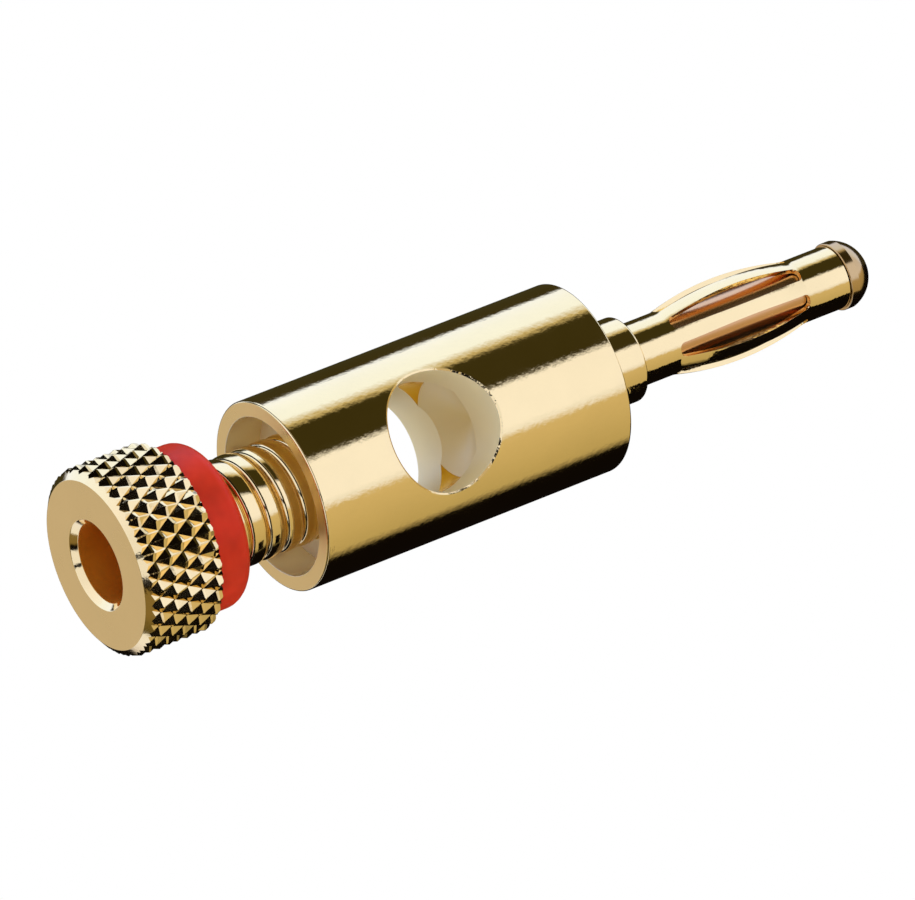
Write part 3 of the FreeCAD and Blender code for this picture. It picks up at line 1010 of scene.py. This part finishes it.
class PLUG_OT_pin(bpy.types.Operator):
    """Make the contact pin with its collar, core and domed head"""
    bl_idname = "plug.make_pin"
    bl_label = "Make contact pin"

    def execute(self, context):
        make_finishes(context)
        sizes = context.scene.plug.pin
        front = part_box("barrel")[1].z
        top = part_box("contact_pin")[1].z
        head = top - sizes.head_dome - sizes.head_side
        rim = top - sizes.head_dome
        collar = front + sizes.collar_length
        body_edges = outline(
            (0, front - sizes.spigot_length),
            (sizes.spigot_radius, front - sizes.spigot_length),
            (sizes.spigot_radius, front),
            (sizes.collar_radius, front, sizes.small_edge),
            (sizes.collar_radius, collar, sizes.collar_edge),
            (sizes.core_radius, collar),
            (sizes.core_radius, head),
            (0, head),
        )
        head_edges = outline(
            (0, head),
            (sizes.head_radius, head, sizes.small_edge),
            (sizes.head_radius, rim),
            (0, rim),
        )
        head_edges[-1:] = dome_edges(sizes.head_radius, rim, sizes.head_dome)
        body = turned_piece("pin_body", body_edges)

        # the core between collar and head gets the darker core gold, painted shade from the leaves
        def choose(radius, level, spots):
            core_in_painted_shade = radius < sizes.core_radius + AT_WALL and collar < level < head
            return "core gold" if core_in_painted_shade else "polished gold"

        paint(body.data, ("polished gold", "core gold"), choose)
        settle(body, "barrel", "gold_pin", "contact_pin")
        cap = turned_piece("pin_head", head_edges, finish("dark gold"))
        settle(cap, "barrel", "gold_pin")
        return {"FINISHED"}


class PLUG_OT_spring(bpy.types.Operator):
    """Make the lantern spring from copies of one bowed leaf"""
    bl_idname = "plug.make_spring"
    bl_label = "Make lantern spring"

    def execute(self, context):
        make_finishes(context)
        sizes = context.scene.plug.spring
        base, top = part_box("lantern_spring")[0].z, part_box("lantern_spring")[1].z
        leaf = self.leaf(sizes, base, top)
        step = 2 * math.pi / sizes.leaf_count
        first = sizes.first_slot - math.pi / 2
        spring = run_tree(
            "lantern_leaves", ring_of_copies_tree(), finish("polished gold"), Item=leaf,
            Count=sizes.leaf_count, Rows=1, First_Height=0.0, Row_Step=0.0,
            First_Angle=first + step / 2,
        )
        bpy.data.objects.remove(leaf)
        self.open_seam(spring.data, sizes, first + step * sizes.seam_slot)
        thick = spring.modifiers.new("sheet", "SOLIDIFY")
        thick.thickness = sizes.sheet
        thick.offset = -1
        thick.use_even_offset = True
        soft = spring.modifiers.new("edges", "BEVEL")
        soft.width = sizes.edge
        soft.segments = 2
        soft.limit_method = "ANGLE"
        soft.angle_limit = math.radians(40)
        soft.harden_normals = True
        flattened(spring)
        settle(spring, "spring", "gold_spring", "lantern_spring")
        return {"FINISHED"}

    @staticmethod
    def leaf(sizes, base, top, columns=20, end_steps=10, side_steps=44, squareness=2.5):
        """One leaf with its share of both bands, about angle 0: the outer skin of the sheet.

        The steps divide a slot's end and its side. Squareness shapes the end, with 2 for round."""
        half = math.pi / sizes.leaf_count
        low = base + sizes.rear_band
        high = low + sizes.slot_length
        side = sizes.slot_width / 2
        length = sizes.slot_length - sizes.slot_width
        # half of what the bow adds to a slot's width, as the leaf keeps its own
        swell = math.pi * sizes.bow / sizes.leaf_count
        ends = [-sizes.bend, -sizes.bend / 2]
        for step in range(end_steps + 1):
            ends.append(side * (1 - math.cos(math.pi / 2 * step / end_steps)))
        heights = [base, *(low + near for near in ends)]
        heights += [low + side + length * step / side_steps for step in range(1, side_steps)]
        heights += [*(high - near for near in reversed(ends)), top]
        places, faces = [], []
        for height in heights:
            near = min(height - low, high - height)
            rise = near
            if near < sizes.bend:
                rise = max(0, near + sizes.bend) ** 2 / (4 * sizes.bend)
            radius = sizes.radius + sizes.bow * (1 - (1 - 2 * rise / sizes.slot_length) ** 2)
            gap = 0
            if near > 0:
                shut = max(0, 1 - near / side) ** squareness
                gap = side * (1 - shut) ** (1 / squareness)
                gap += swell * math.sin(math.pi * max(0, near - side) / length)
            reach = half - math.asin(gap / radius)
            for column in range(columns + 1):
                angle = reach * (2 * column / columns - 1)
                places.append((radius * math.cos(angle), radius * math.sin(angle), height))
        width = columns + 1
        for row in range(len(heights) - 1):
            for column in range(columns):
                first = row * width + column
                faces.append((first, first + 1, first + 1 + width, first + width))
        mesh = plain_mesh("leaf", places, faces)
        mesh.shade_smooth()
        return new_piece("leaf", mesh)

    @staticmethod
    def open_seam(mesh, sizes, angle):
        """Cut the two bands where the edges of the sheet meet."""
        way = Vector((math.cos(angle), math.sin(angle), 0))
        across = Vector((-way.y, way.x, 0))
        half = sizes.seam_width / 2
        make = bmesh.new()
        make.from_mesh(mesh)

        def near_faces():
            return [face for face in make.faces
                    if face.calc_center_median().dot(way) > sizes.radius / 2]

        for side in (-1, 1):
            near = near_faces()
            parts = set(near)
            for face in near:
                parts.update(face.edges)
                parts.update(face.verts)
            bmesh.ops.bisect_plane(
                make, geom=list(parts), plane_co=across * side * half, plane_no=across
            )
        gone = [face for face in near_faces()
                if abs(face.calc_center_median().dot(across)) < half]
        if not gone:
            raise RuntimeError("the seam cuts nothing")
        bmesh.ops.delete(make, geom=gone, context="FACES")
        make.to_mesh(mesh)
        make.free()


# Stage

DEEP_DARK = (0.004, 0.003, 0.0025)
WARM_DARK = (0.0455, 0.0414, 0.0153)
SOFTBOX = (1.04, 1.22, 2.2)
SOFTBOX_EDGE = (0.94, 1.1, 1.95)
BRIGHT_BOX = (1.03, 1.36, 2.74)
BRIGHT_EDGE = (0.62, 0.6, 0.5)
MIDDLE = (0.68, 0.62, 0.50)
LOW_MIDDLE = (0.52, 0.476, 0.325)
REAR = (0.60, 0.575, 0.62)
OLIVE = (0.11, 0.093, 0.03)
DARK_GOLD = (0.24, 0.19, 0.09)
SOFT_FILL = (0.86, 0.86, 0.84)
BACKDROP = (1, 1, 1)

# light round the plug by azimuth in degrees from -Y to +X: at the height that its sides mirror,
# above that, at the height that its rear faces mirror, and further down for the chamfers
UPPER_LIGHT = (
    (-180, WARM_DARK), (-126, WARM_DARK), (-120, BRIGHT_BOX), (-84, BRIGHT_BOX),
    (-73, BRIGHT_EDGE), (-66, WARM_DARK), (-27, WARM_DARK), (-20, SOFTBOX), (24, SOFTBOX),
    (31, SOFTBOX_EDGE), (38, MIDDLE), (95, LOW_MIDDLE), (107, DEEP_DARK), (180, DEEP_DARK),
)
TOP_LIGHT = (
    (-180, WARM_DARK), (-126, WARM_DARK), (-120, BRIGHT_BOX), (-66, BRIGHT_BOX),
    (-60, SOFTBOX_EDGE), (24, SOFTBOX), (31, SOFTBOX_EDGE), (38, MIDDLE), (95, LOW_MIDDLE),
    (107, DEEP_DARK), (180, DEEP_DARK),
)
REAR_LIGHT = (
    (-180, REAR), (-165, REAR), (-150, BRIGHT_BOX), (-90, BRIGHT_BOX), (-60, REAR), (60, REAR),
    (100, SOFTBOX_EDGE), (140, SOFTBOX_EDGE), (160, REAR), (180, REAR),
)
LOWER_LIGHT = (
    (-180, REAR), (-155, REAR), (-140, BRIGHT_BOX), (-90, SOFTBOX), (-40, SOFTBOX_EDGE),
    (16, SOFTBOX_EDGE), (20, DEEP_DARK), (28, DEEP_DARK), (32, SOFTBOX_EDGE), (70, SOFTBOX_EDGE),
    (76, DEEP_DARK), (86, DEEP_DARK), (92, DARK_GOLD), (112, DARK_GOLD), (128, OLIVE),
    (140, OLIVE), (160, REAR), (180, REAR),
)

# the lights above the lower one, each with the heights on the unit sphere where it fades in
LIGHT_LEVELS = (
    (REAR_LIGHT, -0.55, -0.5), (UPPER_LIGHT, -0.2, -0.1), (TOP_LIGHT, 0.72, 0.8),
)

# black cards round the plug: azimuths in degrees, heights and distance from the axis in mm
FLAGS = (
    ("low flag", -140, 140, -5, 5.5, 30),
    ("pin flag", 76, 112, 51.2, 90, 30),
    ("thread flag", 78, 98, 17, 24.9, 30),
)


class PLUG_OT_stage(bpy.types.Operator):
    """Make the floor, the studio light and the camera"""
    bl_idname = "plug.make_stage"
    bl_label = "Make stage"

    def execute(self, context):
        settings = context.scene.plug.stage
        self.make_floor(context, settings)
        self.make_light(context)
        for flag in FLAGS:
            self.make_flag(*flag)
        self.make_camera(context, settings)
        context.scene.view_settings.view_transform = "Standard"
        return {"FINISHED"}

    @staticmethod
    def make_floor(context, settings):
        """A pale floor that is clear from below, as the picture is taken from there."""
        half = settings.floor_size / 2
        corners = [(-half, -half), (half, -half), (half, half), (-half, half)]
        places = [(x, y, -settings.floor_gap) for x, y in corners]
        material, tree = new_material("pale floor")
        where = node(tree, "ShaderNodeTexCoord").outputs["Object"]
        grain = node(tree, "ShaderNodeTexNoise", {"Vector": where, "Scale": 40.0, "Detail": 4.0})
        bright = node(tree, "ShaderNodeMapRange", {
            "Value": grain.outputs[0], "To Min": 0.98, "To Max": 1.02,
        })
        tone = node(tree, "ShaderNodeVectorMath", {
            0: tuple(context.scene.plug.finishes.floor), "Scale": bright.outputs[0],
        }, operation="SCALE")
        surface = node(tree, "ShaderNodeBsdfPrincipled", {
            "Base Color": tone.outputs[0], "Roughness": 0.9, "Specular IOR Level": 0.1,
        })
        clear = node(tree, "ShaderNodeBsdfTransparent")
        back = node(tree, "ShaderNodeNewGeometry").outputs["Backfacing"]
        mix = node(tree, "ShaderNodeMixShader", {
            0: back, 1: surface.outputs[0], 2: clear.outputs[0],
        })
        node(tree, "ShaderNodeOutputMaterial", {"Surface": mix.outputs[0]})
        floor = new_piece("floor", plain_mesh("floor", places, [(0, 1, 2, 3)]), material)
        hide_from(floor, "diffuse", "glossy", "transmission", "shadow")

    @staticmethod
    def light_ramp(tree, place, stops):
        """Colours round the horizon, from (azimuth in degrees, colour) stops."""
        ramp = node(tree, "ShaderNodeValToRGB", {0: place})
        points = ramp.color_ramp.elements
        while len(points) > 1:
            points.remove(points[-1])
        for index, (azimuth, tone) in enumerate(stops):
            position = (azimuth + 180) / 360
            point = points[0] if index == 0 else points.new(position)
            point.position = position
            point.color = (*tone, 1)
        return ramp.outputs[0]

    def make_light(self, context):
        """Softboxes and dark gaps round the plug, painted on the sky, and a white backdrop."""
        world = bpy.data.worlds.new("studio")
        context.scene.world = world
        world.use_nodes = True
        tree = world.node_tree
        tree.nodes.clear()
        way = node(tree, "ShaderNodeTexCoord").outputs["Generated"]
        axes = node(tree, "ShaderNodeSeparateXYZ", {0: way}).outputs
        turn = math_node(tree, "ARCTAN2", axes[0], math_node(tree, "MULTIPLY", axes[1], -1.0))
        place = node(tree, "ShaderNodeMapRange", {
            "Value": turn, "From Min": -math.pi, "From Max": math.pi,
        }).outputs[0]
        studio = self.light_ramp(tree, place, LOWER_LIGHT)
        for stops, low, high in LIGHT_LEVELS:
            level = node(tree, "ShaderNodeMapRange", {
                "Value": axes[2], "From Min": low, "From Max": high,
            }, interpolation_type="SMOOTHSTEP").outputs[0]
            studio = mixed_colour(tree, level, studio, self.light_ramp(tree, place, stops))
        path = node(tree, "ShaderNodeLightPath").outputs
        soft = mixed_colour(tree, path["Is Diffuse Ray"], studio, (*SOFT_FILL, 1))
        sky = mixed_colour(tree, path["Is Camera Ray"], soft, (*BACKDROP, 1))
        light = node(tree, "ShaderNodeBackground", {"Color": sky})
        node(tree, "ShaderNodeOutputWorld", {"Surface": light.outputs[0]})

    @staticmethod
    def make_flag(name, start, end, low, high, distance, steps=48):
        """A bent black card that only the plug's gloss sees."""
        places, faces = [], []
        for index in range(steps + 1):
            angle = math.radians(start + (end - start) * index / steps)
            for height in (low, high):
                spot = (distance * math.sin(angle), -distance * math.cos(angle), height)
                places.append([value * MM for value in spot])
        for index in range(steps):
            first = 2 * index
            faces.append((first, first + 1, first + 3, first + 2))
        material, tree = new_material(name)
        surface = node(tree, "ShaderNodeBsdfPrincipled", {
            "Base Color": (*DEEP_DARK, 1), "Roughness": 1.0, "Specular IOR Level": 0.0,
        })
        node(tree, "ShaderNodeOutputMaterial", {"Surface": surface.outputs[0]})
        flag = new_piece(name, plain_mesh(name, places, faces), material)
        hide_from(flag, "camera", "diffuse", "shadow")

    @staticmethod
    def make_camera(context, settings):
        """A camera that looks up at the plug from below, as the picture does."""
        data = bpy.data.cameras.new("camera")
        data.lens = settings.lens
        data.clip_start = 0.01
        data.clip_end = 10
        camera = bpy.data.objects.new("camera", data)
        context.collection.objects.link(camera)
        tilt = settings.elevation
        back = Vector((0, -math.cos(tilt), math.sin(tilt)))
        camera.location = Vector(settings.aim) + back * settings.distance
        upright = (-back).to_track_quat("-Z", "Y").to_matrix()
        rolled = upright @ Matrix.Rotation(settings.roll, 3, "Z")
        camera.rotation_euler = rolled.to_euler()
        context.scene.camera = camera


class PLUG_PT_panel(bpy.types.Panel):
    """The plug's operators, sizes and finishes"""
    bl_idname = "PLUG_PT_panel"
    bl_label = "Banana plug"
    bl_space_type = "VIEW_3D"
    bl_region_type = "UI"
    bl_category = "Plug"

    def draw(self, context):
        for step in STEPS:
            self.layout.operator(step.bl_idname)
        plug = context.scene.plug
        for title, group in (
            ("Barrel", plug.barrel), ("Clamping screw", plug.screw), ("Colour ring", plug.ring),
            ("Contact pin", plug.pin), ("Lantern spring", plug.spring),
            ("Finishes", plug.finishes), ("Stage", plug.stage),
        ):
            box = self.layout.box()
            box.label(text=title)
            for name in group.bl_rna.properties.keys():
                if name not in {"rna_type", "name"}:
                    box.prop(group, name)


STEPS = (PLUG_OT_barrel, PLUG_OT_pin, PLUG_OT_spring, PLUG_OT_ring, PLUG_OT_screw, PLUG_OT_stage)
CLASSES = (
    BarrelSizes, ScrewSizes, RingSizes, PinSizes, SpringSizes, Finishes, StageSettings,
    PlugSettings, *STEPS, PLUG_PT_panel,
)


def register():
    for item in CLASSES:
        bpy.utils.register_class(item)
    bpy.types.Scene.plug = PointerProperty(type=PlugSettings)


def unregister():
    del bpy.types.Scene.plug
    for item in reversed(CLASSES):
        bpy.utils.unregister_class(item)


def main():
    register()
    bpy.ops.plug.make_barrel()
    bpy.ops.plug.make_pin()
    bpy.ops.plug.make_spring()
    bpy.ops.plug.make_ring()
    bpy.ops.plug.make_screw()
    bpy.ops.plug.make_stage()


if __name__ == "__main__":
    main()
